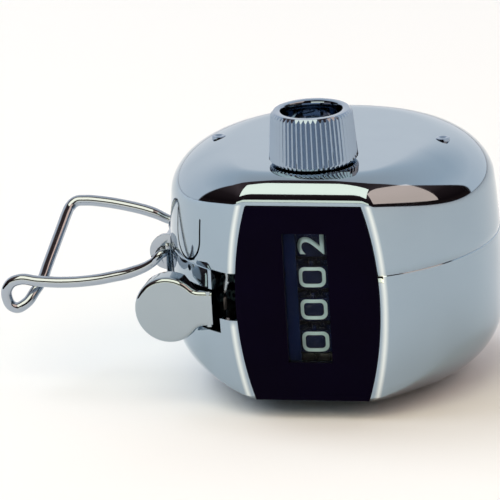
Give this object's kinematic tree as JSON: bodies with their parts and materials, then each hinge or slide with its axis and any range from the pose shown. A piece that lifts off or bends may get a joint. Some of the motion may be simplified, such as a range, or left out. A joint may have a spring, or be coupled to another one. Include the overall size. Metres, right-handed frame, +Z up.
{
  "type": "hand tally counter",
  "caption": "Hand tally counter: drum-shaped chromed case with a flat black window panel, thumb lever, knurled reset knob and hinged wire finger ring.",
  "frame": {"origin": "centre of the flat base, on the axis of the drum-shaped case", "axes": "+Z up along the number-wheel axis towards the reset knob; -Y is the window side; -X is the thumb lever and finger ring side"},
  "size_m": [0.0714, 0.0445, 0.0428],
  "materials": {
    "chrome": "polished",
    "panel_black": "gloss",
    "window_clear": "clear",
    "plated_steel": "satin",
    "turned_steel": "turned",
    "brass": "turned",
    "hardened_steel": "ground",
    "spring_steel": "drawn",
    "wheel_black": "moulded",
    "pinion_plastic": "moulded"
  },
  "bodies": {
    "case": {"upper_shell": "chrome", "lower_shell": "chrome", "window_panel": "panel_black", "window_lens": "window_clear", "window_mask": "panel_black", "frame_lower_plate": "plated_steel", "frame_upper_plate": "plated_steel", "frame_feet": "brass", "frame_pillars": "brass", "deck_posts": "brass", "base_screws": "chrome", "case_rivets": "chrome", "pinion_shaft": "turned_steel", "pinion_spacers": "brass", "wheel_spacer": "turned_steel", "knob_bush": "brass", "lever_pivot_pin": "turned_steel", "lever_return_spring": "spring_steel", "spring_anchor": "turned_steel", "detent_post": "turned_steel", "detent_spring": "spring_steel", "ring_bracket": "chrome", "bracket_rivets": "chrome"},
    "lever": {"thumb_lever": "chrome", "drive_pawl_pin": "turned_steel"},
    "pawl": {"drive_pawl": "hardened_steel"},
    "units_wheel": {"number_wheel_units": "wheel_black", "ratchet_wheel": "hardened_steel"},
    "tens_wheel": {"number_wheel_tens": "wheel_black"},
    "hundreds_wheel": {"number_wheel_hundreds": "wheel_black"},
    "thousands_wheel": {"number_wheel_thousands": "wheel_black"},
    "tens_pinion": {"carry_pinion_tens": "pinion_plastic"},
    "hundreds_pinion": {"carry_pinion_hundreds": "pinion_plastic"},
    "thousands_pinion": {"carry_pinion_thousands": "pinion_plastic"},
    "reset_shaft": {"wheel_shaft": "turned_steel", "shaft_clip": "plated_steel", "reset_knob": "chrome", "knob_screw": "chrome"},
    "ring": {"finger_ring": "chrome"}
  },
  "joints": [
    {"name": "lever_press", "type": "hinge", "parent": "case", "child": "lever", "pos_m": [-0.005, -0.001, 0.0183], "axis": [0, 0, -1], "range_deg": [0, 14], "stiffness_Nm_per_rad": 0.12, "springref_deg": -14.32},
    {"name": "pawl_swing", "type": "hinge", "parent": "lever", "child": "pawl", "pos_m": [-0.015, -0.008, 0.02725], "axis": [0, 0, 1], "range_deg": [0, 10.3]},
    {"name": "units_turn", "type": "hinge", "parent": "case", "child": "units_wheel", "pos_m": [0, -0.0115, 0.02505], "axis": [0, 0, -1], "range_deg": [0, 36.1]},
    {"name": "tens_turn", "type": "hinge", "parent": "case", "child": "tens_wheel", "pos_m": [0, -0.0115, 0.0203], "axis": [0, 0, -1], "continuous": true},
    {"name": "tens_pinion_turn", "type": "hinge", "parent": "case", "child": "tens_pinion", "pos_m": [0.00816, -0.00853, 0.0203], "axis": [0, 0, -1], "continuous": true},
    {"name": "hundreds_turn", "type": "hinge", "parent": "case", "child": "hundreds_wheel", "pos_m": [0, -0.0115, 0.01555], "axis": [0, 0, -1], "continuous": true},
    {"name": "hundreds_pinion_turn", "type": "hinge", "parent": "case", "child": "hundreds_pinion", "pos_m": [0.00816, -0.00853, 0.01555], "axis": [0, 0, -1], "continuous": true},
    {"name": "thousands_turn", "type": "hinge", "parent": "case", "child": "thousands_wheel", "pos_m": [0, -0.0115, 0.0108], "axis": [0, 0, -1], "continuous": true},
    {"name": "thousands_pinion_turn", "type": "hinge", "parent": "case", "child": "thousands_pinion", "pos_m": [0.00816, -0.00853, 0.0108], "axis": [0, 0, -1], "continuous": true},
    {"name": "reset_turn", "type": "hinge", "parent": "case", "child": "reset_shaft", "pos_m": [0, -0.0115, 0.0352], "axis": [0, 0, 1], "continuous": true},
    {"name": "ring_swing", "type": "hinge", "parent": "case", "child": "ring", "pos_m": [-0.0237, 0, 0.0198], "axis": [0, 1, 0], "range_deg": [-60, 70]}
  ],
  "couplings": [
    {"joint": "pawl_swing", "follows": "lever_press", "ratio": 0.729},
    {"joint": "units_turn", "follows": "lever_press", "ratio": 2.5714},
    {"joint": "tens_pinion_turn", "follows": "tens_turn", "ratio": -2.5},
    {"joint": "hundreds_pinion_turn", "follows": "hundreds_turn", "ratio": -2.5},
    {"joint": "thousands_pinion_turn", "follows": "thousands_turn", "ratio": -2.5}
  ]
}
